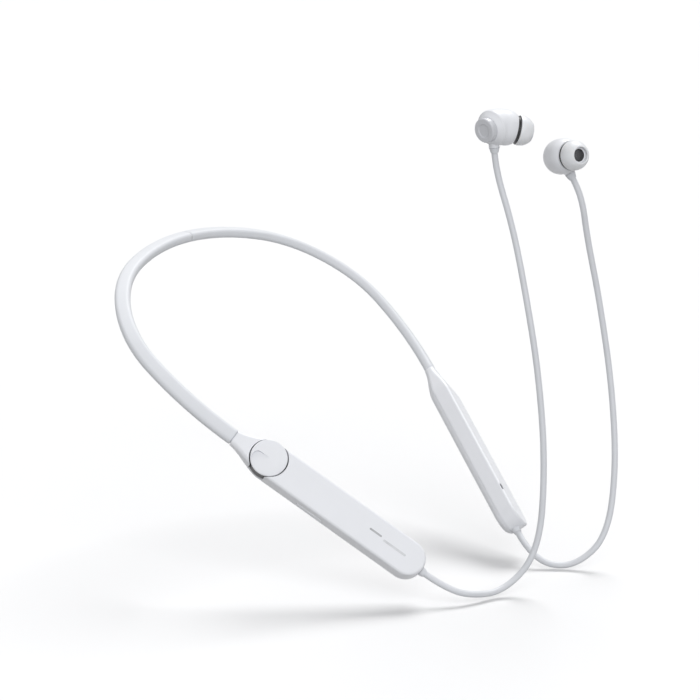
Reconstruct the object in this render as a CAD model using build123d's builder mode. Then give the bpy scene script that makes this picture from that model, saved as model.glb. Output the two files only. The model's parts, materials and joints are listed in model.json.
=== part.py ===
"""Neckband earphones: a springy collar with two pods, and an in-ear earbud on a cord from each pod.

Millimetres, +Z up, the wearer faces -Y and the wearer's right is -X. The origin is where the middle of
the collar rests on the nape of the neck. The collar and both pods share one sloping plane, the band plane.
"""
import os
from math import cos, pi, radians, sin, tan

from build123d import *

os.makedirs("parts", exist_ok=True)

# ---- driving dimensions -------------------------------------------------------------------------
BAND_SLOPE = 36.2         # the band plane falls this steeply towards the wearer's chest, degrees
BAND_ROLL = 32.0          # the collar's and pods' faces lean outward from the band plane, degrees
BAND_WIDTH = 6.0          # collar section, across its face
BAND_THICK = 3.8
BAND_CORNER = 1.6
NAPE_OFFSET = 2.95        # centre of the collar section to the surface that touches the neck

NAPE_R, NAPE_ARC = 95.0, 23.0             # collar arcs from the nape outward: radius, degrees
SHOULDER_R, SHOULDER_ARC = 54.0, 46.0
SIDE_R, SIDE_ARC = 42.0, 22.5
ARM_R, ARM_ARC = 121.5, 19.6
FLEX_AT = 23.0            # where in the shoulder arc the arm flexes, degrees
FLEX_GAP = 0.9            # free gap in the sleeve there, as an arc in degrees

WIRE_D = 1.2              # spring wire inside the collar
LEAD_D = 0.7              # the two insulated leads beside it
LEAD_OFFSET = 1.45

POD_LENGTH = 84.0         # band seam to tip
POD_WIDTH = 13.8
POD_FACE_Z = 4.2          # the pod's face and back, from its middle plane
POD_BACK_Z = -4.5
POD_FACE_CORNER = 1.0     # crisp edges round the face, full rounding along the back
POD_BACK_CORNER = 3.2
POD_WALL = 1.2
INNER_CORNER = 0.45       # smallest corner radius inside the pod
NECK_LENGTH = 15.0        # the pod widens from the collar over this length
CAVITY_START = 23.6       # inside of the pod, from the seam
SPLIT_Z = -2.0            # parting line between cover and base, below the mid-plane
BASE_START = 9.0          # the base's collar end, from the seam
SEAM = 0.16               # half width and depth of the parting groove
TENON_LENGTH = 4.6        # the sleeve's end that plugs into the pod

DIAL_X = 14.8             # dial centre, from the seam
DIAL_D = 13.9
DIAL_POCKET_D = 14.8      # wider than the pod's flat face, so the dial shows over both long edges
DIAL_FLOOR_Z = -1.2
DIAL_CAP_Z = (2.9, 4.45)
DIAL_STEP = 1.05          # height of the finger step at the cap's rim
BUTTON_X = 38.3           # power button centre, from the seam
BUTTON_LENGTH = 11.5
BUTTON_HEIGHT = 1.8
USB_X = 56.0
USB_MOUTH = (8.94, 3.2)
LIGHT_X = 66.0
MIC_X = 68.2              # microphone slot in the left pod, from the seam
MIC_SLOT = (3.0, 0.9)

CORD_D = 2.4
RELIEF_OUT = 1.8          # strain relief standing out of the pod's tip
BUD_R = 6.7               # earbud body radius
BUD_WALL = 0.9
CAP_R = 4.6               # grey back cap
PIVOT_Z = 7.75            # where the nozzle's axis leaves the body's, from the back face
NOZZLE_TILT = 40.0        # between the two axes, degrees
BEND_START_Z = 4.9        # the body starts to bend towards the nozzle at this depth
NOZZLE_FACE_Z = 6.5       # shoulder that the vent ring sits on, from the pivot along the nozzle
STEM_ANGLE = 60.0         # the cord leaves this far round the body from the nozzle's side, degrees
BUD_RELIEF_R = 9.4        # end of the earbud's strain relief, from the body's axis
BUD_RELIEF_Z = 5.2        # and from its back face

# Earbuds: centre of the back face, axis of the body, direction of the nozzle.
BUDS = {
    "right": ((14.4, -131.0, 55.7), (0.9875, -0.0924, 0.1273), (0.7450, -0.6299, -0.2194)),
    "left": ((55.6, -138.5, 41.1), (-0.8597, -0.4598, 0.2224), (-0.3534, -0.9178, 0.1808)),
}

# Corners of the cords' routes between the pod's strain relief and the earbud's.
CORD_ROUTES = {
    "right": [(-21.5, -152.0, -109.5), (-5.0, -157.0, -111.2), (5.3, -165.0, -96.8), (10.2, -163.6, -63.9),
              (13.6, -157.5, -30.7), (16.7, -149.1, -2.6), (20.5, -140.4, 20.2)],
    "left": [(29.2, -153.0, -111.5), (36.0, -162.5, -110.8), (44.5, -170.0, -100.0), (53.5, -167.5, -75.5),
             (59.8, -160.6, -45.0), (59.9, -153.9, -12.2), (55.8, -150.4, 11.8)],
}
CORD_STRAIGHT = (7.5, 7.0)  # straight lengths out of the pod's relief and into the earbud's

SIDES = {"right": -1, "left": 1}


# ---- frames -------------------------------------------------------------------------------------
slope = radians(BAND_SLOPE)
roll = radians(BAND_ROLL)
band_plane = Plane(origin=(0, NAPE_OFFSET * cos(slope), NAPE_OFFSET * sin(slope)), x_dir=(1, 0, 0),
                   z_dir=(0, -sin(slope), cos(slope)))


def section_plane(point, heading):
    """Plane across the collar with local x along the section's width and the face on the outer side."""
    outward = band_plane.z_dir.cross(heading)
    width_dir = outward * cos(roll) - band_plane.z_dir * sin(roll)
    return Plane(origin=point, x_dir=width_dir, z_dir=heading)


def collar_path(*arcs, start=(0, 0), heading=0.0):
    """Tangent arcs in the band plane, from the nape towards the left arm; each is radius, degrees."""
    with BuildLine(band_plane) as line:
        at = start
        angle = heading
        for radius, degrees_turned in arcs:
            tangent = (cos(radians(angle)), -sin(radians(angle)))
            JernArc(start=at, tangent=tangent, radius=radius, arc_size=-degrees_turned)
            centre = (at[0] - radius * sin(radians(angle)), at[1] - radius * cos(radians(angle)))
            angle += degrees_turned
            at = (centre[0] + radius * sin(radians(angle)), centre[1] + radius * cos(radians(angle)))
    return line.wire(), at, angle


half_centre, flex_start, flex_angle = collar_path((NAPE_R, NAPE_ARC), (SHOULDER_R, FLEX_AT))
gap_wire, arm_start, arm_angle = collar_path((SHOULDER_R, FLEX_GAP), start=flex_start, heading=flex_angle)
arm_wire, seam_at, seam_angle = collar_path(
    (SHOULDER_R, SHOULDER_ARC - FLEX_AT - FLEX_GAP), (SIDE_R, SIDE_ARC), (ARM_R, ARM_ARC),
    start=arm_start, heading=arm_angle)
flex_pivot = gap_wire @ 0.5


def pod_plane(side):
    """Pod frame: x from the seam to the tip, z out of the face, y across (outer side is side * y)."""
    origin = band_plane.from_local_coords((seam_at[0], seam_at[1], 0))
    ahead = arm_wire % 1
    outward = band_plane.z_dir.cross(ahead)
    face = band_plane.z_dir * cos(roll) + outward * sin(roll)
    return Plane(origin=(side * origin.X, origin.Y, origin.Z), x_dir=(side * ahead.X, ahead.Y, ahead.Z),
                 z_dir=(side * face.X, face.Y, face.Z))


def cross_plane(pod, x):
    """Plane across a pod at x, with local x across the pod and local y along its face normal."""
    return Plane(origin=pod.from_local_coords((x, 0, 0)), x_dir=pod.y_dir, z_dir=pod.x_dir)


def side_plane(pod, outer, depth, x=0.0, z=0.0):
    """Plane parallel to a pod's side wall, at depth from the mid-plane, facing outward."""
    return Plane(origin=pod.from_local_coords((x, outer * depth, z)), x_dir=pod.x_dir,
                 z_dir=pod.y_dir * outer)


def bud_plane(name):
    """Earbud body frame: origin on the back face, z forward, x to the side that the nozzle leans to."""
    rear, axis, nozzle = BUDS[name]
    axis = Vector(*axis).normalized()
    nozzle = Vector(*nozzle)
    return Plane(origin=rear, x_dir=nozzle - axis * nozzle.dot(axis), z_dir=axis)


def nozzle_plane(bud):
    """Frame of an earbud's nozzle: origin at the pivot, z towards the ear tip."""
    tilt = radians(NOZZLE_TILT)
    return Plane(origin=bud.from_local_coords((0, 0, PIVOT_Z)),
                 x_dir=bud.x_dir * cos(tilt) - bud.z_dir * sin(tilt),
                 z_dir=bud.z_dir * cos(tilt) + bud.x_dir * sin(tilt))


def stem_plane(bud, side):
    """Frame of the cord's stem: origin on the body's axis, z along the cord exit."""
    around = radians(STEM_ANGLE)
    way_out = bud.x_dir * cos(around) - bud.y_dir * side * sin(around)
    return Plane(origin=bud.from_local_coords((0, 0, BUD_RELIEF_Z)), x_dir=bud.z_dir, z_dir=way_out)


def save(part, name):
    part.label = name
    export_step(part, f"parts/{name}.step")


def local_box(plane, size, centre):
    """Box solid set square to a plane, by size and centre in that plane's own coordinates."""
    with BuildPart() as block:
        with BuildSketch(plane.offset(centre[2] - size[2] / 2)):
            with Locations((centre[0], centre[1])):
                Rectangle(size[0], size[1])
        extrude(amount=size[2])
    return block.part


def local_tube(plane, outer_r, inner_r, z0, z1, centre=(0, 0)):
    """Round bar or tube along a plane's normal."""
    with BuildPart() as bar:
        with BuildSketch(plane.offset(z0)):
            with Locations(centre):
                Circle(outer_r)
                if inner_r > 0:
                    Circle(inner_r, mode=Mode.SUBTRACT)
        extrude(amount=z1 - z0)
    return bar.part


def turned(plane, outline):
    """Solid of revolution about a plane's normal.

    The outline lists (radius, height) points. A pair of points is an arc through the first to the second.
    """
    section = Plane(origin=plane.origin, x_dir=plane.x_dir, z_dir=-plane.y_dir)
    with BuildPart() as body:
        with BuildSketch(section):
            with BuildLine():
                at = outline[0]
                for step in outline[1:]:
                    if isinstance(step[0], tuple):
                        ThreePointArc(at, *step)
                        at = step[1]
                    else:
                        Line(at, step)
                        at = step
                Line(at, outline[0])
            make_face()
        revolve(axis=Axis(plane.origin, plane.z_dir), revolution_arc=360)
    return body.part


# ---- collar: silicone sleeve, spring wire and leads ----------------------------------------------
def sleeve_section():
    RectangleRounded(BAND_WIDTH, BAND_THICK, BAND_CORNER)
    Circle(WIRE_D / 2, mode=Mode.SUBTRACT)
    with Locations((-LEAD_OFFSET, 0), (LEAD_OFFSET, 0)):
        Circle(LEAD_D / 2, mode=Mode.SUBTRACT)


def wire_section():
    Circle(WIRE_D / 2)


def lead_section():
    with Locations((-LEAD_OFFSET, 0), (LEAD_OFFSET, 0)):
        Circle(LEAD_D / 2)


def swept(path, draw):
    """Half of the collar: one section swept along its arcs."""
    with BuildPart() as run:
        with BuildSketch(section_plane(path @ 0, path % 0)):
            draw()
        sweep(path=path)
    return run.part


COLLAR_PIECES = (("band_sleeve", sleeve_section), ("spring_wire", wire_section),
                 ("band_leads", lead_section))

for piece, draw in COLLAR_PIECES:
    half = swept(half_centre, draw)
    with BuildPart() as centre_run:
        add(half)
        mirror(about=Plane.YZ)
    save(centre_run.part, f"{piece}_centre")

for piece, draw in COLLAR_PIECES:
    with BuildPart() as left_run:
        add(swept(arm_wire, draw))
        if piece == "band_sleeve":
            with BuildSketch(cross_plane(pod_plane(1), 0)):
                RectangleRounded(BAND_WIDTH - 1.2, BAND_THICK - 1.2, BAND_CORNER - 0.5)
                Circle(WIRE_D / 2, mode=Mode.SUBTRACT)
                with Locations((-LEAD_OFFSET, 0), (LEAD_OFFSET, 0)):
                    Circle(LEAD_D / 2, mode=Mode.SUBTRACT)
            extrude(amount=TENON_LENGTH)
        else:
            with BuildSketch(cross_plane(pod_plane(1), 0)):
                draw()
            extrude(amount=TENON_LENGTH)
    save(left_run.part, f"{piece}_left")
    with BuildPart() as right_run:
        mirror(left_run.part, about=Plane.YZ)
    save(right_run.part, f"{piece}_right")


# ---- pods ---------------------------------------------------------------------------------------
NECK_STATIONS = (0.0, 0.28, 0.72, 1.0)    # how far the neck has widened at equal steps along it


NECK_SECTION = (BAND_WIDTH + 0.3, BAND_THICK / 2 + 0.15, -BAND_THICK / 2 - 0.15, BAND_CORNER + 0.1,
                BAND_CORNER + 0.1)
POD_SECTION = (POD_WIDTH, POD_FACE_Z, POD_BACK_Z, POD_FACE_CORNER, POD_BACK_CORNER)


def pod_section(grown, inset):
    """Cross-section of the pod, from the collar's (0) to the full one (1), drawn smaller by an inset."""
    width, face_z, back_z, face_corner, back_corner = [
        narrow + (wide - narrow) * grown for narrow, wide in zip(NECK_SECTION, POD_SECTION)]
    with Locations((0, (face_z + back_z) / 2)):
        Rectangle(width - 2 * inset, face_z - back_z - 2 * inset)
    fillet(vertices().group_by(Axis.Y)[-1], max(INNER_CORNER, face_corner - inset))
    fillet(vertices().group_by(Axis.Y)[0], max(INNER_CORNER, back_corner - inset))


def pod_form(pod, inset, tip, neck, start=0.0):
    """The pod's outer form or its cavity: an optional widening neck, a straight run and a round tip."""
    middle = tip - POD_WIDTH / 2 + inset
    with BuildPart() as form:
        if neck:
            for step, grown in enumerate(NECK_STATIONS):
                with BuildSketch(cross_plane(pod, start + NECK_LENGTH * step / (len(NECK_STATIONS) - 1))):
                    pod_section(grown, inset)
            loft()
            start = start + NECK_LENGTH
        with BuildSketch(cross_plane(pod, start)):
            pod_section(1.0, inset)
        extrude(amount=middle - start)
        with BuildSketch(cross_plane(pod, middle)):
            pod_section(1.0, inset)
            Rectangle(POD_WIDTH, 2 * POD_WIDTH, align=(Align.MIN, Align.CENTER), mode=Mode.SUBTRACT)
        revolve(axis=Axis(pod.from_local_coords((middle, 0, 0)), pod.z_dir), revolution_arc=180)
    return form.part


def pod_shells(name):
    """Cover and base of one pod, before its own openings are cut."""
    pod = pod_plane(SIDES[name])
    outer = pod_form(pod, 0.0, POD_LENGTH, True)
    core = pod_form(pod, SEAM, POD_LENGTH - SEAM, True)
    cavity = pod_form(pod, POD_WALL, POD_LENGTH - POD_WALL, False, CAVITY_START)
    reach = POD_WIDTH + 4
    below = SPLIT_Z - reach / 2
    zone = local_box(pod, (POD_LENGTH, reach, reach), (BASE_START + POD_LENGTH / 2, 0, below))
    inside = local_box(pod, (POD_LENGTH, reach, reach),
                       (BASE_START + SEAM + POD_LENGTH / 2, 0, below - SEAM))
    with BuildPart() as groove:
        add(zone)
        add(inside, mode=Mode.SUBTRACT)
        add(core, mode=Mode.SUBTRACT)
    with BuildPart() as cover:
        add(outer)
        add(cavity, mode=Mode.SUBTRACT)
        add(zone, mode=Mode.SUBTRACT)
    with BuildPart() as base:
        add(outer)
        add(cavity, mode=Mode.SUBTRACT)
        add(zone, mode=Mode.INTERSECT)
        add(groove.part, mode=Mode.SUBTRACT)
    return pod, {"cover": cover.part, "base": base.part}


def tenon_socket(pod):
    """Room in the pod's neck for the sleeve's tenon."""
    with BuildPart() as socket:
        with BuildSketch(cross_plane(pod, 0)):
            RectangleRounded(BAND_WIDTH - 1.1, BAND_THICK - 1.1, BAND_CORNER - 0.5)
        extrude(amount=TENON_LENGTH + 0.1)
    return socket.part


def tip_hole(pod):
    """Hole in the pod's tip for the strain relief."""
    with BuildPart() as hole:
        with BuildSketch(cross_plane(pod, POD_LENGTH - 3.0)):
            Circle(1.62)
        extrude(amount=6.0)
    return hole.part


def pod_relief(pod):
    """Flexible strain relief: a flange inside the pod, a neck through the tip and a short cone."""
    way_out = cross_plane(pod, POD_LENGTH)
    outline = [(0, -2.7), (2.4, -2.7), (2.4, -1.9), (1.6, -1.9), (1.6, 0.0), (1.85, 0.1),
               (1.45, RELIEF_OUT), (0, RELIEF_OUT)]
    return turned(way_out, outline)


for name in SIDES:
    save(pod_relief(pod_plane(SIDES[name])), f"{name}_pod_relief")

# ---- right pod: dial, power button, charging socket and main board -------------------------------
right_pod, right_shells = pod_shells("right")
right_outer = SIDES["right"]
right_inner = -right_outer
button_seat = side_plane(right_pod, right_outer, 0.0, BUTTON_X)
usb_seat = side_plane(right_pod, right_inner, 0.0, USB_X)
light_seat = side_plane(right_pod, right_inner, 0.0, LIGHT_X, 0.6)
dial_seat = Plane(origin=right_pod.from_local_coords((DIAL_X, 0, 0)), x_dir=right_pod.x_dir,
                  z_dir=right_pod.z_dir)

with BuildPart() as right_cover:
    add(right_shells["cover"])
    add(tenon_socket(right_pod), mode=Mode.SUBTRACT)
    add(tip_hole(right_pod), mode=Mode.SUBTRACT)
    with BuildSketch(dial_seat.offset(DIAL_FLOOR_Z)):
        Circle(DIAL_POCKET_D / 2)
    extrude(amount=POD_WIDTH, mode=Mode.SUBTRACT)
    with BuildSketch(button_seat.offset(4.0)):
        SlotOverall(BUTTON_LENGTH + 0.3, BUTTON_HEIGHT + 0.3)
    extrude(amount=6.0, mode=Mode.SUBTRACT)
    with BuildSketch(usb_seat.offset(4.0)):
        SlotOverall(USB_MOUTH[0] + 0.3, USB_MOUTH[1] + 0.3)
    extrude(amount=6.0, mode=Mode.SUBTRACT)
    with BuildSketch(light_seat.offset(4.0)):
        Circle(0.65)
    extrude(amount=6.0, mode=Mode.SUBTRACT)
save(right_cover.part, "right_pod_cover")

BOSS_R, SCREW_R = 1.3, 0.55
BOARD_Z0, BOARD_Z1 = -2.3, -1.5
BOARD_SCREWS = ((28.5, -3.2), (63.5, -3.2))
boss_spots = [(x, -right_inner * abs(y)) for x, y in BOARD_SCREWS]

with BuildPart() as right_base:
    add(right_shells["base"])
    add(tip_hole(right_pod), mode=Mode.SUBTRACT)
    with BuildSketch(right_pod.offset(POD_BACK_Z + POD_WALL)):
        with Locations(*boss_spots):
            Circle(BOSS_R)
    extrude(amount=BOARD_Z0 - POD_BACK_Z - POD_WALL)
    with BuildSketch(right_pod.offset(POD_BACK_Z + 0.6)):
        with Locations(*boss_spots):
            Circle(SCREW_R + 0.03)
    extrude(amount=3.0, mode=Mode.SUBTRACT)
save(right_base.part, "right_pod_base")

with BuildPart() as main_board:
    with BuildSketch(right_pod.offset(BOARD_Z0)):
        with Locations((47.0, 0)):
            RectangleRounded(44.0, 10.0, 1.0)
        with Locations(*boss_spots):
            Circle(SCREW_R + 0.05, mode=Mode.SUBTRACT)
    extrude(amount=BOARD_Z1 - BOARD_Z0)
save(main_board.part, "main_board")

with BuildPart() as board_screws:
    with BuildSketch(right_pod.offset(POD_BACK_Z + 0.8)):
        with Locations(*boss_spots):
            Circle(SCREW_R)
    extrude(amount=BOARD_Z1 - POD_BACK_Z - 0.8)
    with BuildSketch(right_pod.offset(BOARD_Z1)):
        with Locations(*boss_spots):
            Circle(1.1)
    extrude(amount=0.7)
save(board_screws.part, "board_screws")

save(local_box(right_pod, (7.0, 8.4, 1.6), (46.0, 0, BOARD_Z1 + 0.8)), "radio_module")
save(local_box(right_pod, (5.0, 2.0, 1.1), (66.2, right_inner * 0.6, BOARD_Z1 + 0.55)), "chip_antenna")
save(local_box(right_pod, (6.0, 2.2, 2.6), (BUTTON_X, right_outer * 3.4, BOARD_Z1 + 1.3)), "power_switch")

with BuildPart() as power_button:
    with BuildSketch(button_seat.offset(5.6)):
        SlotOverall(BUTTON_LENGTH, BUTTON_HEIGHT)
    extrude(amount=1.55)
    with BuildSketch(button_seat.offset(4.9)):
        SlotOverall(BUTTON_LENGTH + 1.6, BUTTON_HEIGHT + 1.0)
    extrude(amount=0.7)
    outer_rim = power_button.edges().group_by(Axis(button_seat.origin, button_seat.z_dir))[-1]
    fillet(outer_rim, 0.25)
save(power_button.part, "power_button")

USB_Z = BOARD_Z1 + USB_MOUTH[1] / 2
with BuildPart() as usb_socket:
    usb_front = side_plane(right_pod, right_inner, -0.4, USB_X, USB_Z)
    with BuildSketch(usb_front):
        SlotOverall(USB_MOUTH[0], USB_MOUTH[1])
    extrude(amount=6.9)
    with BuildSketch(usb_front.offset(1.2)):
        SlotOverall(USB_MOUTH[0] - 0.6, USB_MOUTH[1] - 0.6)
    extrude(amount=7.0, mode=Mode.SUBTRACT)
    with BuildSketch(usb_front.offset(1.0)):
        Rectangle(6.7, 0.7)
    extrude(amount=5.4)
save(usb_socket.part, "usb_socket")

save(local_tube(light_seat, 0.6, 0.0, 2.2, 6.8), "status_light_pipe")

# The dial turns on a hub that is pressed down on a metal snap dome.
save(local_tube(dial_seat, 4.2, 1.05, DIAL_FLOOR_Z, 0.2), "dial_encoder")
save(turned(dial_seat, [(1.3, 0.46), (3.4, 0.2), (3.4, 0.36), (1.3, 0.62)]), "dial_snap_dome")
save(turned(dial_seat, [(0, -0.5), (1.0, -0.5), (1.0, 1.05), (4.4, 1.05), (4.4, 1.5), (1.5, 1.5),
                        (1.5, 2.2), (2.0, 2.2), (2.0, 2.5), (0, 2.5)]), "dial_hub")
save(turned(dial_seat, [(1.55, 1.56), (6.0, 1.56), (6.0, -0.45), (6.8, -0.45), (6.8, DIAL_CAP_Z[0]),
                        (2.5, DIAL_CAP_Z[0]), (2.5, 2.14), (1.55, 2.14)]), "dial_ring")


def ramp_section(angle, depth):
    """Wedge outline above the cap's sloping top, in the half plane at an angle about the dial's axis."""
    outward = dial_seat.x_dir.rotate(Axis((0, 0, 0), dial_seat.z_dir), angle)
    beyond = DIAL_D / 2 + 1.0
    top = DIAL_CAP_Z[1]
    half_plane = Plane(origin=dial_seat.origin, x_dir=outward, z_dir=outward.cross(dial_seat.z_dir))
    with BuildSketch(half_plane) as wedge:
        with BuildLine():
            Polyline((0.3, top), (beyond, top - depth), (beyond, top + 1.0), (0.3, top + 1.0), close=True)
        make_face()
    return wedge.sketch


# The top has a finger step that points at the collar and a ramp that climbs from it through half a turn.
with BuildPart() as ramp:
    for quarter in range(5):
        add(ramp_section(180 + 45 * quarter, max(0.02, DIAL_STEP * (1 - quarter / 4))))
    loft()

with BuildPart() as dial_cap:
    with BuildSketch(dial_seat.offset(DIAL_CAP_Z[0])):
        Circle(DIAL_D / 2)
    extrude(amount=DIAL_CAP_Z[1] - DIAL_CAP_Z[0])
    fillet(dial_cap.edges().group_by(Axis(dial_seat.origin, dial_seat.z_dir))[-1], 0.3)
    add(ramp.part, mode=Mode.SUBTRACT)
save(dial_cap.part, "dial_cap")

# ---- left pod: battery, protection board and microphone ------------------------------------------
left_pod, left_shells = pod_shells("left")
left_inner = -SIDES["left"]
MIC_ANGLE = 62.0          # the slot looks out of the rounded inner edge of the face, degrees from the side
edge_centre = left_pod.from_local_coords((MIC_X, left_inner * (POD_WIDTH / 2 - POD_FACE_CORNER),
                                          POD_FACE_Z - POD_FACE_CORNER))
mic_out = left_pod.y_dir * left_inner * cos(radians(MIC_ANGLE)) + left_pod.z_dir * sin(radians(MIC_ANGLE))
mic_seat = Plane(origin=edge_centre, x_dir=left_pod.x_dir, z_dir=mic_out)

with BuildPart() as left_cover:
    add(left_shells["cover"])
    add(tenon_socket(left_pod), mode=Mode.SUBTRACT)
    add(tip_hole(left_pod), mode=Mode.SUBTRACT)
    with BuildSketch(mic_seat.offset(-0.8)):
        SlotOverall(*MIC_SLOT)
    extrude(amount=4.0, mode=Mode.SUBTRACT)
save(left_cover.part, "left_pod_cover")

with BuildPart() as left_base:
    add(left_shells["base"])
    add(tip_hole(left_pod), mode=Mode.SUBTRACT)
save(left_base.part, "left_pod_base")

with BuildPart() as microphone_mesh:
    with BuildSketch(mic_seat.offset(POD_FACE_CORNER - 0.75)):
        SlotOverall(MIC_SLOT[0] - 0.04, MIC_SLOT[1] - 0.04)
    extrude(amount=0.25)
save(microphone_mesh.part, "microphone_mesh")

with BuildPart() as battery_cell:
    with BuildSketch(left_pod.offset(-2.6)):
        with Locations((45.0, 0)):
            RectangleRounded(38.0, 10.6, 1.2)
    extrude(amount=4.8)
    battery_rims = battery_cell.edges().filter_by(lambda e: abs(e.tangent_at(0).dot(left_pod.z_dir)) < 0.01)
    fillet(battery_rims, 0.6)
save(battery_cell.part, "battery_cell")
save(local_box(left_pod, (5.5, 8.6, 0.8), (68.2, 0, -1.4)), "protection_board")
save(local_box(left_pod, (3.6, 2.8, 1.0), (MIC_X, left_inner * 2.8, -0.5)), "microphone")


# ---- earbuds ------------------------------------------------------------------------------------
# Outlines are (radius, height): the body's heights are from its back face, the nozzle's from the pivot.
REAR_CAP = [(0, 0.35), (2.2, 0.35), (2.7, 0.0), (4.0, 0.0), ((4.42, 0.18), (CAP_R, 0.6)), (CAP_R, 2.4),
            (0, 2.4)]
SNAP_MAGNET = [(0, 3.75), (3.2, 3.75), (3.2, 4.55), (0, 4.55)]
DRIVER_FRAME = [(1.2, 4.6), (5.0, 4.6), (5.2, 5.0), (5.2, 7.9), (4.6, 7.9), (4.6, 5.1), (1.2, 5.1)]
YOKE = [(0, 5.15), (4.3, 5.15), (4.3, 7.1), (3.8, 7.1), (3.8, 5.6), (0, 5.6)]
MAGNET = [(0, 5.65), (2.9, 5.65), (2.9, 7.1), (0, 7.1)]
VOICE_COIL = [(3.1, 6.2), (3.5, 6.2), (3.5, 7.85), (3.1, 7.85)]
FRONT_SHELL = [(BUD_R, 2.85), ((6.41, 4.75), (5.6, 6.5)), (2.9, 6.5), (2.9, 12.0), (2.4, 12.0), (2.4, 5.6),
               (4.9, 5.6), ((5.53, 4.25), (5.8, 2.85))]
DIAPHRAGM = [(0, 8.4), (3.1, 7.9), ((4.1, 8.15), (5.1, 7.9)), (5.1, 8.05), ((4.1, 8.3), (3.1, 8.05)),
             (0, 8.55)]
NOZZLE_R, NOZZLE_BORE = 2.9, 2.4
NOZZLE_END = 12.0
BOSS_OUT = 2.0            # radius of the boss that holds the earbud's strain relief
VENT_RING = [(2.96, NOZZLE_FACE_Z), (5.15, NOZZLE_FACE_Z), (5.15, 7.6), (2.96, 7.6)]
EAR_TIP = [(2.96, 7.9), (3.55, 7.9), (3.55, 10.9), ((4.55, 10.35), (5.1, 8.05)), ((5.33, 7.8), (5.55, 8.05)),
           ((5.05, 11.3), (3.55, 13.25)), ((3.25, 13.35), (2.96, 13.1))]
NOZZLE_MESH = [(0, 11.6), (2.38, 11.6), (2.38, 11.8), (0, 11.8)]

BODY_PIECES = {
    "rear_cap": REAR_CAP, "snap_magnet": SNAP_MAGNET, "driver_frame": DRIVER_FRAME, "driver_yoke": YOKE,
    "driver_magnet": MAGNET, "voice_coil": VOICE_COIL, "diaphragm": DIAPHRAGM,
}
NOZZLE_PIECES = {"vent_ring": VENT_RING, "ear_tip": EAR_TIP, "nozzle_mesh": NOZZLE_MESH}


REAR_OUTER = [(0, 2.4), (4.8, 2.4), (6.16, 3.9), ((6.6, 4.35), (BUD_R, BEND_START_Z)), (0, BEND_START_Z)]
REAR_INNER = [(0, 3.7), (4.9, 3.7), (5.8, 4.7), (5.8, BEND_START_Z), (0, BEND_START_Z)]


def bent_bar(bud, radius):
    """Bent middle of the body: a round bar turned through the nozzle's tilt."""
    reach = (PIVOT_Z - BEND_START_Z) / tan(radians(NOZZLE_TILT / 2))
    centre = bud.from_local_coords((reach, 0, BEND_START_Z))
    with BuildPart() as bend:
        with BuildSketch(bud.offset(BEND_START_Z)):
            Circle(radius)
        revolve(axis=Axis(centre, bud.y_dir), revolution_arc=NOZZLE_TILT)
    return bend.part


for name, side in SIDES.items():
    bud = bud_plane(name)
    nozzle = nozzle_plane(bud)
    stem = stem_plane(bud, side)
    for piece, points in BODY_PIECES.items():
        save(turned(bud, points), f"{name}_{piece}")
    for piece, points in NOZZLE_PIECES.items():
        save(turned(nozzle, points), f"{name}_{piece}")
    with BuildPart() as rear_housing:
        add(turned(bud, REAR_OUTER))
        add(bent_bar(bud, BUD_R))
        with BuildSketch(stem.offset(5.0)):
            Circle(BOSS_OUT)
        extrude(amount=2.3)
        add(turned(bud, REAR_INNER), mode=Mode.SUBTRACT)
        add(bent_bar(bud, BUD_R - BUD_WALL), mode=Mode.SUBTRACT)
        with BuildSketch(stem.offset(4.5)):
            Circle(1.55)
        extrude(amount=4.0, mode=Mode.SUBTRACT)
    save(rear_housing.part, f"{name}_rear_housing")
    save(turned(nozzle, FRONT_SHELL), f"{name}_front_shell")
    save(turned(stem, [(0, 5.9), (1.5, 5.9), (1.5, 7.4), (2.0, 7.45), (1.5, BUD_RELIEF_R),
                       (0, BUD_RELIEF_R)]), f"{name}_bud_relief")


# ---- cords --------------------------------------------------------------------------------------
def cord_points(name):
    pod = pod_plane(SIDES[name])
    stem = stem_plane(bud_plane(name), SIDES[name])
    start = pod.from_local_coords((POD_LENGTH + RELIEF_OUT, 0, 0))
    end = stem.from_local_coords((0, 0, BUD_RELIEF_R))
    leave = start + pod.x_dir * CORD_STRAIGHT[0]
    arrive = end + stem.z_dir * CORD_STRAIGHT[1]
    return [start, leave] + [Vector(*point) for point in CORD_ROUTES[name]] + [arrive, end]


def corner_radii(points):
    """Each corner's arc is as large as its two runs allow."""
    radii = []
    for before, corner, after in zip(points, points[1:], points[2:]):
        run_in = corner - before
        run_out = after - corner
        turn = radians(run_in.get_angle(run_out))
        radii.append(0.45 * min(run_in.length, run_out.length) / tan(turn / 2))
    return radii


for name in SIDES:
    points = cord_points(name)
    radii = corner_radii(points)
    with BuildLine() as route:
        FilletPolyline(*points, radius=radii)
    path = route.wire()
    with BuildPart() as cord:
        with BuildSketch(Plane(origin=path @ 0, z_dir=path % 0)):
            Circle(CORD_D / 2)
        sweep(path=path)
    save(cord.part, f"{name}_cord")
    section = pi * CORD_D * CORD_D / 4
    print(name, "cord points", [tuple(round(value, 1) for value in point) for point in points])
    print(name, "cord radii", [round(value, 1) for value in radii], "length", round(path.length, 1),
          "volume ratio", round(cord.part.volume / (section * path.length), 4))

print("flex pivot", flex_pivot, "axis", band_plane.z_dir, "seam", seam_at, "heading", seam_angle)
for label, frame in (("right pod", right_pod), ("left pod", left_pod), ("dial", dial_seat)):
    print(label, frame.origin, "x", frame.x_dir, "y", frame.y_dir, "z", frame.z_dir)
for name in SIDES:
    bud = bud_plane(name)
    print(name, "bud axis", bud.z_dir, "pivot", nozzle_plane(bud).origin, "nozzle", nozzle_plane(bud).z_dir)
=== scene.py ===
"""Neckband earphones: smooth surfaces, cords, materials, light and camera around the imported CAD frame.

Metres, +Z up, the wearer faces -Y and the wearer's right is -X. The collar and the pods share one sloping
plane; its normal, the pods' axes and the dial's axis are read from the frame's joints.
"""
import json
import math

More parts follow.
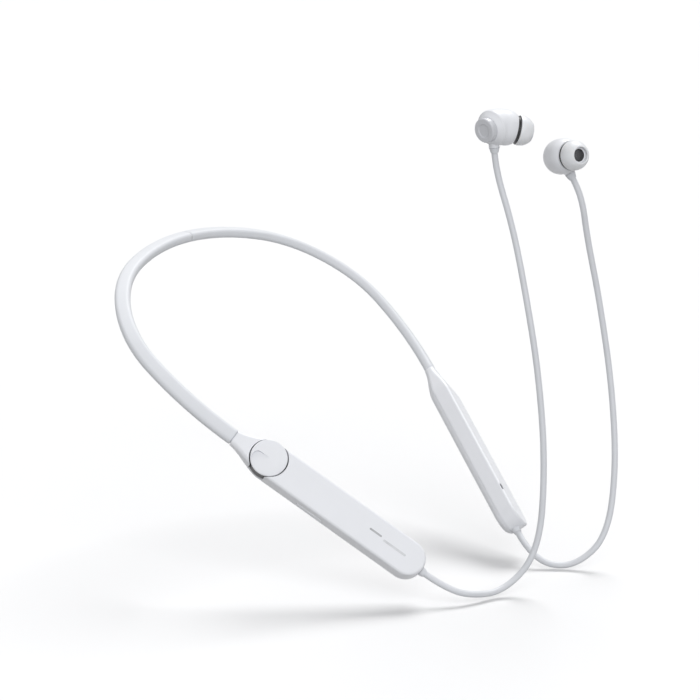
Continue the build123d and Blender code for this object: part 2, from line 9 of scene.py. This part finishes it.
import bmesh
import bpy
from mathutils import Matrix, Vector


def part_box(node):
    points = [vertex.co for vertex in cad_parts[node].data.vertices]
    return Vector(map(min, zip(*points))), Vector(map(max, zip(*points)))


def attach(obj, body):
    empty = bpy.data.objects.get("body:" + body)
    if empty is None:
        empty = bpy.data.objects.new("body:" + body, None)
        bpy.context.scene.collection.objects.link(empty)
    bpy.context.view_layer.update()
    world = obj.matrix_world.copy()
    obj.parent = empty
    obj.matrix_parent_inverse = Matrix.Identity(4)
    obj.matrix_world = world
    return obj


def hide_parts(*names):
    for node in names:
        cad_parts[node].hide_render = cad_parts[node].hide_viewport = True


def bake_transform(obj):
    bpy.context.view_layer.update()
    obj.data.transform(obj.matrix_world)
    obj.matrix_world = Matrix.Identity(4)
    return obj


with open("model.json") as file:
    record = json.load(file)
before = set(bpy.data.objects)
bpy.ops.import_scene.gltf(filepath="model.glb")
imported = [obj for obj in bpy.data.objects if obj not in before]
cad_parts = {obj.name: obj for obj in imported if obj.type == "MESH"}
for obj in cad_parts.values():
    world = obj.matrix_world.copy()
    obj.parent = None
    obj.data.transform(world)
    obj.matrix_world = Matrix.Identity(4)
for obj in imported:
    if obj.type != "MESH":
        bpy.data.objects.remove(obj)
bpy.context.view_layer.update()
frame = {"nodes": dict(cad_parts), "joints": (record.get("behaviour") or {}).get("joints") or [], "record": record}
MM = 0.001

# ---- camera -------------------------------------------------------------------------------------
CAMERA_AT = (-0.7300, -0.6511, 0.2033)
CAMERA_PITCH = 75.75      # degrees from looking straight down
CAMERA_TURN = -51.97
LENS = 128.57             # millimetres on a 36 mm sensor

camera_data = bpy.data.cameras.new("camera")
camera_data.lens = LENS
camera_data.sensor_width = 36.0
camera = bpy.data.objects.new("camera", camera_data)
camera.location = CAMERA_AT
camera.rotation_euler = (math.radians(CAMERA_PITCH), 0, math.radians(CAMERA_TURN))
bpy.context.scene.collection.objects.link(camera)
bpy.context.scene.camera = camera

# ---- driving dimensions, as in the CAD ----------------------------------------------------------
BAND_ARCS = ((0.095, 23.0), (0.054, 46.0), (0.042, 22.5), (0.1215, 19.6))   # radius, degrees, from the nape
BAND_WIDTH = 6.0 * MM
BAND_THICK = 3.8 * MM
BAND_CORNER = 1.6 * MM
BAND_ROLL = math.radians(32.0)
NAPE_OFFSET = 2.95 * MM
CORD_D = 2.4 * MM
DIAL_R = 6.95 * MM
DIAL_BOTTOM = 2.9 * MM    # heights above the pod's middle plane
DIAL_TOP = 4.45 * MM
DIAL_STEP = 1.05 * MM
POD_FACE = 4.2 * MM

# The cords' routes, from the pod's strain relief to the earbud's.
CORD_ROUTES = {
    "right": [(-0.0302, -0.1386, -0.1014), (-0.0275, -0.1442, -0.1055), (-0.0215, -0.1520, -0.1095),
              (-0.0050, -0.1570, -0.1112), (0.0053, -0.1650, -0.0968), (0.0102, -0.1636, -0.0639),
              (0.0136, -0.1575, -0.0307), (0.0167, -0.1491, -0.0026), (0.0205, -0.1404, 0.0202),
              (0.0216, -0.1317, 0.0401), (0.0207, -0.1316, 0.0470)],
    "left": [(0.0302, -0.1386, -0.1014), (0.0275, -0.1442, -0.1055), (0.0292, -0.1530, -0.1115),
             (0.0360, -0.1625, -0.1108), (0.0445, -0.1700, -0.1000), (0.0535, -0.1675, -0.0755),
             (0.0598, -0.1606, -0.0450), (0.0599, -0.1539, -0.0122), (0.0558, -0.1504, 0.0118),
             (0.0523, -0.1498, 0.0285), (0.0518, -0.1460, 0.0344)],
}
SIDES = {"right": -1, "left": 1}

# ---- frames -------------------------------------------------------------------------------------
joints = {joint["name"]: joint for joint in frame["joints"]}
band_up = Vector(joints["left_arm_flex"]["axis"]).normalized()
band_ahead = Vector((1, 0, 0)).cross(band_up)
dial_up = Vector(joints["dial_turn"]["axis"]).normalized()
pod_across = Vector(joints["power_key_press"]["axis"]).normalized()
pod_ahead = pod_across.cross(dial_up)


# ---- materials ----------------------------------------------------------------------------------
def node(tree, kind, **inputs):
    """Add a shader node and set its named inputs."""
    made = tree.nodes.new(kind)
    for name, value in inputs.items():
        made.inputs[name.replace("_", " ")].default_value = value
    return made


def grain(tree, scale, detail=3.0, roughness=0.55):
    """Noise in object space, so that its scale is the same on every piece."""
    where = tree.nodes.new("ShaderNodeTexCoord")
    noise = node(tree, "ShaderNodeTexNoise", Scale=scale, Detail=detail, Roughness=roughness)
    tree.links.new(where.outputs["Object"], noise.inputs["Vector"])
    return noise


def ramp_between(tree, source, low, high, start=0.35, end=0.65):
    """Colour ramp from low to high driven by a noise value."""
    ramp = tree.nodes.new("ShaderNodeValToRGB")
    ramp.color_ramp.elements[0].position = start
    ramp.color_ramp.elements[0].color = (*low, 1)
    ramp.color_ramp.elements[1].position = end
    ramp.color_ramp.elements[1].color = (*high, 1)
    tree.links.new(source, ramp.inputs["Fac"])
    return ramp


def finish_material(name, colour, roughness, metallic=0.0, tone=0.03, tone_scale=60.0, rough_swing=0.06,
                    grain_scale=5000.0, grain_depth=0.00001, **shader_inputs):
    """Principled material with slow colour drift, roughness variation and a fine surface grain."""
    material = bpy.data.materials.new(name)
    material.use_nodes = True
    tree = material.node_tree
    shader = tree.nodes["Principled BSDF"]
    shader.inputs["Metallic"].default_value = metallic
    for socket, value in shader_inputs.items():
        shader.inputs[socket.replace("_", " ")].default_value = value
    drift = grain(tree, tone_scale, detail=4.0)
    darker = tuple(channel * (1 - tone) for channel in colour)
    tones = ramp_between(tree, drift.outputs["Fac"], darker, colour)
    tree.links.new(tones.outputs["Color"], shader.inputs["Base Color"])
    polish = grain(tree, tone_scale * 9, detail=5.0)
    spread = tree.nodes.new("ShaderNodeMapRange")
    spread.inputs["To Min"].default_value = roughness - rough_swing
    spread.inputs["To Max"].default_value = roughness + rough_swing
    tree.links.new(polish.outputs["Fac"], spread.inputs["Value"])
    tree.links.new(spread.outputs["Result"], shader.inputs["Roughness"])
    fine = grain(tree, grain_scale, detail=2.0)
    bump = node(tree, "ShaderNodeBump", Strength=1.0, Distance=grain_depth)
    tree.links.new(fine.outputs["Fac"], bump.inputs["Height"])
    tree.links.new(bump.outputs["Normal"], shader.inputs["Normal"])
    return material


def white_silicone():
    """Soft satin silicone of the collar and strain reliefs, with a very fine moulded texture."""
    return finish_material("white_silicone", (0.70, 0.715, 0.745), 0.52, tone=0.025, grain_scale=7000.0,
                           grain_depth=0.000012, Subsurface_Weight=0.06,
                           Subsurface_Radius=(0.0015, 0.0014, 0.0013),
                           Sheen_Weight=0.10, Sheen_Roughness=0.6, Specular_IOR_Level=0.45)


def white_plastic():
    """Fine-textured polycarbonate of the pods and earbuds."""
    return finish_material("white_plastic", (0.79, 0.80, 0.83), 0.40, tone=0.015, grain_scale=9000.0,
                           grain_depth=0.000008, Subsurface_Weight=0.03,
                           Subsurface_Radius=(0.001, 0.001, 0.001), Specular_IOR_Level=0.5)


def cord_jacket():
    """Satin elastomer of the cords."""
    return finish_material("cord_jacket", (0.68, 0.695, 0.725), 0.42, tone=0.03, tone_scale=120.0,
                           grain_scale=5200.0, grain_depth=0.000008, Subsurface_Weight=0.05,
                           Subsurface_Radius=(0.001, 0.001, 0.001), Sheen_Weight=0.06)


def tip_silicone():
    """Soft, slightly translucent silicone of the ear tips."""
    return finish_material("tip_silicone", (0.80, 0.81, 0.83), 0.36, tone=0.02, grain_scale=4200.0,
                           grain_depth=0.000006, Subsurface_Weight=0.22,
                           Subsurface_Radius=(0.003, 0.0027, 0.0025),
                           Coat_Weight=0.08, Coat_Roughness=0.35)


def cap_grey():
    """Lacquered cap on the back of each earbud."""
    return finish_material("cap_grey", (0.60, 0.61, 0.64), 0.30, tone=0.03, grain_scale=9000.0,
                           grain_depth=0.000006, Coat_Weight=0.15, Coat_Roughness=0.2)


def black_plastic():
    """Painted shade: black rings under the dial cap's rim and between each earbud's body and tip, whose black
    paints the shade of those gaps.
    """
    return finish_material("black_plastic", (0.012, 0.012, 0.014), 0.38, tone=0.2, grain_scale=8000.0,
                           grain_depth=0.00001)


def mesh_dark():
    """Dark cloth behind the woven meshes."""
    return finish_material("mesh_dark", (0.012, 0.012, 0.013), 0.45, metallic=0.4, tone=0.3,
                           grain_scale=9000.0, grain_depth=0.00003)


def mesh_wire():
    """Wire of the nozzle weaves."""
    return finish_material("mesh_wire", (0.20, 0.20, 0.21), 0.35, metallic=0.8, tone=0.2, grain_scale=12000.0)


def steel(name, colour, roughness):
    """Bare metal with brushed variation in its polish."""
    return finish_material(name, colour, roughness, metallic=1.0, tone=0.08, tone_scale=400.0,
                           rough_swing=0.08)


def plain_part(name, colour, roughness, metallic=0.0, **extra):
    """Small part or print with a moderate colour drift."""
    return finish_material(name, colour, roughness, metallic=metallic, tone=0.12, tone_scale=500.0, **extra)


MATERIALS = {
    "white_silicone": white_silicone(),
    "white_plastic": white_plastic(),
    "cord_jacket": cord_jacket(),
    "tip_silicone": tip_silicone(),
    "cap_grey": cap_grey(),
    # black_plastic paints the shade in the gaps under the dial cap and round the ear tips
    "black_plastic": black_plastic(),
    "mesh_dark": mesh_dark(),
    "spring_steel": steel("spring_steel", (0.56, 0.57, 0.58), 0.30),
    "contact_steel": steel("contact_steel", (0.66, 0.66, 0.67), 0.26),
    "magnet_plate": steel("magnet_plate", (0.70, 0.71, 0.72), 0.16),
    "copper": plain_part("copper", (0.72, 0.36, 0.20), 0.32, metallic=0.9),
    "board_green": plain_part("board_green", (0.02, 0.17, 0.08), 0.30, Coat_Weight=0.3),
    "chip_black": plain_part("chip_black", (0.02, 0.02, 0.022), 0.50),
    "battery_foil": plain_part("battery_foil", (0.70, 0.71, 0.72), 0.34, metallic=0.9),
    "film_amber": plain_part("film_amber", (0.52, 0.34, 0.13), 0.25),
    "light_pipe": plain_part("light_pipe", (0.82, 0.84, 0.86), 0.20, Transmission_Weight=0.3),
}
WIRE = mesh_wire()
PRINT_DARK = plain_part("print_dark", (0.45, 0.455, 0.47), 0.5)
PRINT_PALE = plain_part("print_pale", (0.66, 0.67, 0.69), 0.45)

for subpart in frame["record"]["subparts"]:
    cad_piece = frame["nodes"][subpart["node"]]
    cad_piece.data.materials.clear()
    cad_piece.data.materials.append(MATERIALS[subpart["material_slot"]])


# ---- mesh helpers -------------------------------------------------------------------------------
def new_piece(name, vertices, faces, material, smooth=True):
    """Object made from vertices and faces, in the scene's main collection."""
    mesh = bpy.data.meshes.new(name)
    mesh.from_pydata([tuple(vertex) for vertex in vertices], [], faces)
    for polygon in mesh.polygons:
        polygon.use_smooth = smooth
    mesh.materials.append(material)
    mesh.validate()
    piece = bpy.data.objects.new(name, mesh)
    bpy.context.scene.collection.objects.link(piece)
    return piece


def outward_normals(piece):
    """Point every face outward."""
    shell = bmesh.new()
    shell.from_mesh(piece.data)
    bmesh.ops.recalc_face_normals(shell, faces=shell.faces)
    shell.to_mesh(piece.data)
    shell.free()


def skin_rings(rings):
    """Vertices and quads of a tube through equal rings, with both ends closed."""
    count = len(rings[0])
    vertices = [vertex for ring in rings for vertex in ring]
    faces = []
    for row in range(len(rings) - 1):
        for column in range(count):
            after = (column + 1) % count
            low, high = row * count, (row + 1) * count
            faces.append((low + column, low + after, high + after, high + column))
    faces.append(tuple(reversed(range(count))))
    faces.append(tuple((len(rings) - 1) * count + column for column in range(count)))
    return vertices, faces


def rounded_outline(width, height, corner, per_corner=10):
    """Points of a rounded rectangle about the origin."""
    points = []
    for quarter, (sx, sy) in enumerate(((1, 1), (-1, 1), (-1, -1), (1, -1))):
        for step in range(per_corner + 1):
            angle = math.radians(90 * quarter + 90 * step / per_corner)
            points.append((sx * (width / 2 - corner) + corner * math.cos(angle),
                           sy * (height / 2 - corner) + corner * math.sin(angle)))
    return points


# ---- collar sleeve ------------------------------------------------------------------------------
BAND_STEP = 1.0 * MM
# Millimetres before the sleeve's end, and the section's share there: it narrows into the pod's mouth.
BAND_END_SHAPE = ((0.9, 1.0), (0.55, 0.985), (0.40, 0.95), (0.34, 0.88), (0.34, 0.80), (-0.6, 0.80))


def band_point(distance):
    """Place and heading on one side of the collar at an arc length from the nape, in the band plane."""
    across, ahead, heading = 0.0, -NAPE_OFFSET, 0.0
    for radius, degrees_turned in BAND_ARCS:
        arc = radius * math.radians(degrees_turned)
        run = min(distance, arc)
        centre = (across - radius * math.sin(heading), ahead + radius * math.cos(heading))
        heading += run / radius
        across = centre[0] + radius * math.sin(heading)
        ahead = centre[1] - radius * math.cos(heading)
        distance -= run
        if distance <= 0:
            return across, ahead, heading
    return across + distance * math.cos(heading), ahead + distance * math.sin(heading), heading


def band_ring(side, distance, scale):
    """One ring of the sleeve's skin."""
    across, ahead, heading = band_point(distance)
    centre = Vector((across, 0, 0)) + band_ahead * ahead
    direction = Vector((math.cos(heading), 0, 0)) + band_ahead * math.sin(heading)
    outward = band_up.cross(direction)
    width_dir = outward * math.cos(BAND_ROLL) - band_up * math.sin(BAND_ROLL)
    face_dir = band_up * math.cos(BAND_ROLL) + outward * math.sin(BAND_ROLL)
    ring = []
    for u, v in rounded_outline(BAND_WIDTH, BAND_THICK, BAND_CORNER):
        point = centre + width_dir * u * scale + face_dir * v * scale
        ring.append((side * point.x, point.y, point.z))
    return ring


BAND_LENGTH = sum(radius * math.radians(turn) for radius, turn in BAND_ARCS)
FLEX_TURN = 23.45             # degrees into the collar's second arc, where the arm's hinge is
FLEX_CENTRE = BAND_ARCS[0][0] * math.radians(BAND_ARCS[0][1]) + BAND_ARCS[1][0] * math.radians(FLEX_TURN)
FLEX_REACH = 20.0 * MM        # length on both sides of the hinge


def band_skin(name):
    """Half of the silicone sleeve, as one fixed mesh."""
    side = SIDES[name]
    plain = BAND_LENGTH - BAND_END_SHAPE[0][0] * MM
    steps = round(plain / BAND_STEP)
    rings = [band_ring(side, plain * step / steps, 1.0) for step in range(steps)]
    for back, scale in BAND_END_SHAPE:
        rings.append(band_ring(side, BAND_LENGTH - back * MM, scale))
    vertices, faces = skin_rings(rings)
    skin = new_piece(f"{name}_band_skin", vertices, faces, MATERIALS["white_silicone"])
    outward_normals(skin)
    for distance in (FLEX_CENTRE - FLEX_REACH, FLEX_CENTRE + FLEX_REACH):
        across, ahead, heading = band_point(distance)
    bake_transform(skin)
    return skin


right_skin = band_skin("right")
left_skin = band_skin("left")
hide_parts("band_sleeve_right", "band_sleeve_centre")
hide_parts("band_sleeve_left")


# ---- cords --------------------------------------------------------------------------------------
def cord(name):
    """One cord's jacket, on a smooth curve along its route."""
    route = CORD_ROUTES[name]
    curve = bpy.data.curves.new(f"{name}_cord_jacket", "CURVE")
    curve.dimensions = "3D"
    curve.resolution_u = 16
    curve.bevel_depth = CORD_D / 2
    curve.bevel_resolution = 8
    spline = curve.splines.new("NURBS")
    spline.points.add(len(route) - 1)
    for point, place in zip(spline.points, route):
        point.co = (*place, 1)
    spline.order_u = 3
    spline.use_endpoint_u = True
    curve.materials.append(MATERIALS["cord_jacket"])
    jacket = bpy.data.objects.new(f"{name}_cord_jacket", curve)
    bpy.context.scene.collection.objects.link(jacket)
    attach(jacket, f"{name}_arm")
    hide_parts(f"{name}_cord")


for cord_name in SIDES:
    cord(cord_name)

# ---- dial cap -----------------------------------------------------------------------------------
DIAL_AT = Vector(joints["dial_turn"]["pos_m"])
DIAL_JOINT_HEIGHT = 2.0 * MM      # of the dial's joint above the pod's middle plane
DIAL_MIDDLE = DIAL_AT - dial_up * DIAL_JOINT_HEIGHT
RIM_ROUND = 0.32 * MM
STEP_CURL = 30.0          # degrees that the step curls forward at the rim
CURL_FROM = 0.60          # share of the radius where the curl starts
CAP_STEPS = 96            # faces round the cap
CAP_RINGS = 22            # rings from the cap's middle to its rim
CAP_INNER = (0.02, 0.08)  # shares of the radius of the two innermost rings
MERGE_WITHIN = 0.004 * MM
SHARP_EDGE = math.radians(35)
CLIMB_TURNS = 0.52        # part of a turn over which the ramp climbs
CLIMB_EASE = 0.35         # share of the climb that is eased at both ends


def dial_place(radius, angle, height):
    """Point on the dial, from its own axis and the pod's middle plane."""
    return (DIAL_MIDDLE + pod_ahead * radius * math.cos(angle) + pod_across * radius * math.sin(angle)
            + dial_up * height)


def step_angle(share):
    """Direction of the finger step at a share of the cap's radius, in radians about the dial's axis."""
    curl = max(0.0, (share - CURL_FROM) / (1 - CURL_FROM)) ** 2
    return math.radians(180 + STEP_CURL * curl)


def ramp_height(share, turn):
    """Top surface at a share of the radius and a turn, 0 at the step's foot and 1 back at its top."""
    climb = min(1.0, turn / CLIMB_TURNS)
    climb = climb * climb * (3 - 2 * climb) * CLIMB_EASE + climb * (1 - CLIMB_EASE)
    return DIAL_TOP - DIAL_STEP * share ** 0.85 * (1 - climb)


def dial_cap():
    """White cap with a spiral finger step: a ramp that climbs from the step's foot through half a turn."""
    turns = [step / CAP_STEPS for step in range(CAP_STEPS + 1)]
    inner = CAP_INNER[-1]
    shares = [*CAP_INNER, *(inner + (1 - inner) * ring / CAP_RINGS for ring in range(1, CAP_RINGS))]
    rim_angles = [math.radians(degrees) for degrees in (0, 22, 45, 67, 90)]
    edge = [(DIAL_R - RIM_ROUND * (1 - math.sin(angle)), RIM_ROUND * (1 - math.cos(angle)))
            for angle in rim_angles]
    rim_start = step_angle(1.0)
    rings = []
    for share in shares:
        radius = share * (DIAL_R - RIM_ROUND)
        rings.append([dial_place(radius, step_angle(share) + 2 * math.pi * turn, ramp_height(share, turn))
                      for turn in turns])
    for radius, drop in edge:
        rings.append([dial_place(radius, rim_start + 2 * math.pi * turn, ramp_height(1.0, turn) - drop)
                      for turn in turns])
    for radius, height in ((DIAL_R, DIAL_BOTTOM + 0.1 * MM), (DIAL_R - 0.1 * MM, DIAL_BOTTOM)):
        rings.append([dial_place(radius, rim_start + 2 * math.pi * turn, height) for turn in turns])
    count = len(turns)
    vertices = [vertex for ring in rings for vertex in ring]
    faces = []
    for row in range(len(rings) - 1):
        for column in range(count - 1):
            low, high = row * count, (row + 1) * count
            faces.append((low + column, high + column, high + column + 1, low + column + 1))
        if row < len(rings) - 3:          # the step's own wall, from its foot to its top
            faces.append((low + count - 1, high + count - 1, high, low))
    centre_top = len(vertices)
    vertices.append(dial_place(0, 0, DIAL_TOP))
    faces.extend((centre_top, column, column + 1) for column in range(count - 1))
    faces.append((centre_top, count - 1, 0))
    centre_bottom = len(vertices)
    vertices.append(dial_place(0, 0, DIAL_BOTTOM))
    last = (len(rings) - 1) * count
    faces.extend((centre_bottom, last + column + 1, last + column) for column in range(count - 1))
    cap = new_piece("dial_cap_skin", vertices, faces, MATERIALS["white_plastic"])
    shell = bmesh.new()
    shell.from_mesh(cap.data)
    bmesh.ops.remove_doubles(shell, verts=shell.verts, dist=MERGE_WITHIN)
    bmesh.ops.recalc_face_normals(shell, faces=shell.faces)
    for edge_line in shell.edges:
        if len(edge_line.link_faces) == 2 and edge_line.calc_face_angle(0) > SHARP_EDGE:
            edge_line.smooth = False
    shell.to_mesh(cap.data)
    shell.free()
    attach(cap, "dial")
    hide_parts("dial_cap")


dial_cap()


# ---- printed marks and woven nozzle meshes ------------------------------------------------------
DIAL_ALONG_POD = 14.8 * MM              # from the pod's start to the dial's axis
PILL_STEPS = 12                         # round each end of a bar
PRINT_HEIGHTS = (-0.00002, 0.000015)    # underside and top of the print, from the pod's face


def pill(name, along, across, length, width, material):
    """Thin raised print on the right pod's face: a plain round-ended bar."""
    points = []
    for end in (1, -1):
        for step in range(PILL_STEPS + 1):
            angle = math.radians(-90 + 180 * step / PILL_STEPS)
            points.append((along + end * ((length - width) / 2 + width / 2 * math.cos(angle)),
                           across + end * width / 2 * math.sin(angle)))
    origin = DIAL_MIDDLE - pod_ahead * DIAL_ALONG_POD
    vertices = [origin + pod_ahead * x * MM + pod_across * y * MM + dial_up * (POD_FACE + height)
                for height in PRINT_HEIGHTS for x, y in points]
    count = len(points)
    faces = [(i, (i + 1) % count, count + (i + 1) % count, count + i) for i in range(count)]
    faces.append(tuple(range(count, 2 * count)))
    mark = new_piece(name, vertices, faces, material, smooth=False)
    outward_normals(mark)
    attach(mark, "right_arm")


pill("face_mark_short", 62.4, 0.4, 5.4, 0.75, PRINT_DARK)
pill("face_mark_long", 71.2, -0.3, 10.0, 0.9, PRINT_PALE)

NOZZLE_R = 2.35 * MM
WEAVE_PITCH = 0.40 * MM
WEAVE_WIRE = 0.075 * MM
WEAVE_LIFT = 0.14 * MM        # of the wires' middle above the dark mesh's


def nozzle_weave(name):
    """Crossing wires over the sound outlet."""
    axis = Vector(joints[f"{name}_tip_pull"]["axis"]).normalized()
    low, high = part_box(f"{name}_nozzle_mesh")
    middle = (low + high) / 2 + axis * WEAVE_LIFT
    sideways = Vector((0, 0, 1)).cross(axis).normalized()
    upward = axis.cross(sideways)
    vertices, faces = [], []
    reach = int(NOZZLE_R / WEAVE_PITCH)
    for run, cross in ((sideways, upward), (upward, sideways)):
        for line in range(-reach, reach + 1):
            offset = line * WEAVE_PITCH
            half = math.sqrt(max(0.0, NOZZLE_R ** 2 - offset ** 2))
            rings = []
            for end in (-1, 1):
                centre = middle + cross * offset + run * half * end
                rings.append([centre + (cross * math.cos(a) + axis * math.sin(a)) * WEAVE_WIRE
                              for a in (math.radians(45 * k) for k in range(8))])
            tube_vertices, tube_faces = skin_rings(rings)
            base = len(vertices)
            vertices.extend(tube_vertices)
            faces.extend(tuple(base + index for index in face) for face in tube_faces)
    weave = new_piece(f"{name}_nozzle_weave", vertices, faces, WIRE)
    outward_normals(weave)
    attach(weave, f"{name}_arm")


for bud_name in SIDES:
    nozzle_weave(bud_name)

# ---- studio -------------------------------------------------------------------------------------
FLOOR_Z = -0.1130
FLOOR_SIZE = 14.0


def studio_floor():
    """White paper under the object, which catches its shadow."""
    half = FLOOR_SIZE / 2
    corners = [(-half, -half, FLOOR_Z), (half, -half, FLOOR_Z), (half, half, FLOOR_Z), (-half, half, FLOOR_Z)]
    paper = finish_material("floor_paper", (0.84, 0.84, 0.845), 0.85, tone=0.0, rough_swing=0.02)
    floor = new_piece("studio_floor", corners, [(0, 1, 2, 3)], paper, smooth=False)
    floor.visible_diffuse = False


def soft_sun(name, toward, spread, power, colour=(1, 1, 1)):
    """Distant soft box: it lights the floor evenly, so the backdrop stays one white."""
    data = bpy.data.lights.new(name, "SUN")
    data.angle = math.radians(spread)
    data.energy = power
    data.color = colour
    light = bpy.data.objects.new(name, data)
    light.rotation_euler = Vector(toward).to_track_quat("Z", "Y").to_euler()
    bpy.context.scene.collection.objects.link(light)


SKY_SPAN = (-0.5, 0.7)        # heights of the view direction over which the surround brightens
SKY_STRENGTH = (0.40, 0.50)   # at the lower and the upper of them


def sky():
    """Even studio surround: bright above, dimmer below."""
    world = bpy.data.worlds.new("surround")
    world.use_nodes = True
    tree = world.node_tree
    where = tree.nodes.new("ShaderNodeTexCoord")
    split = tree.nodes.new("ShaderNodeSeparateXYZ")
    tree.links.new(where.outputs["Generated"], split.inputs["Vector"])
    spread = node(tree, "ShaderNodeMapRange")
    spread.inputs["From Min"].default_value, spread.inputs["From Max"].default_value = SKY_SPAN
    spread.inputs["To Min"].default_value, spread.inputs["To Max"].default_value = SKY_STRENGTH
    tree.links.new(split.outputs["Z"], spread.inputs["Value"])
    background = tree.nodes["Background"]
    background.inputs["Color"].default_value = (1.0, 1.0, 1.0, 1.0)
    tree.links.new(spread.outputs["Result"], background.inputs["Strength"])
    bpy.context.scene.world = world


studio_floor()
sky()
soft_sun("key", (0.55, 0.20, 0.87), 28.0, 1.85)
soft_sun("front_fill", (-0.75, -0.85, 0.65), 60.0, 1.45, (0.97, 0.98, 1.0))
bpy.context.scene.view_settings.view_transform = "Standard"
bpy.context.scene.view_settings.look = "None"
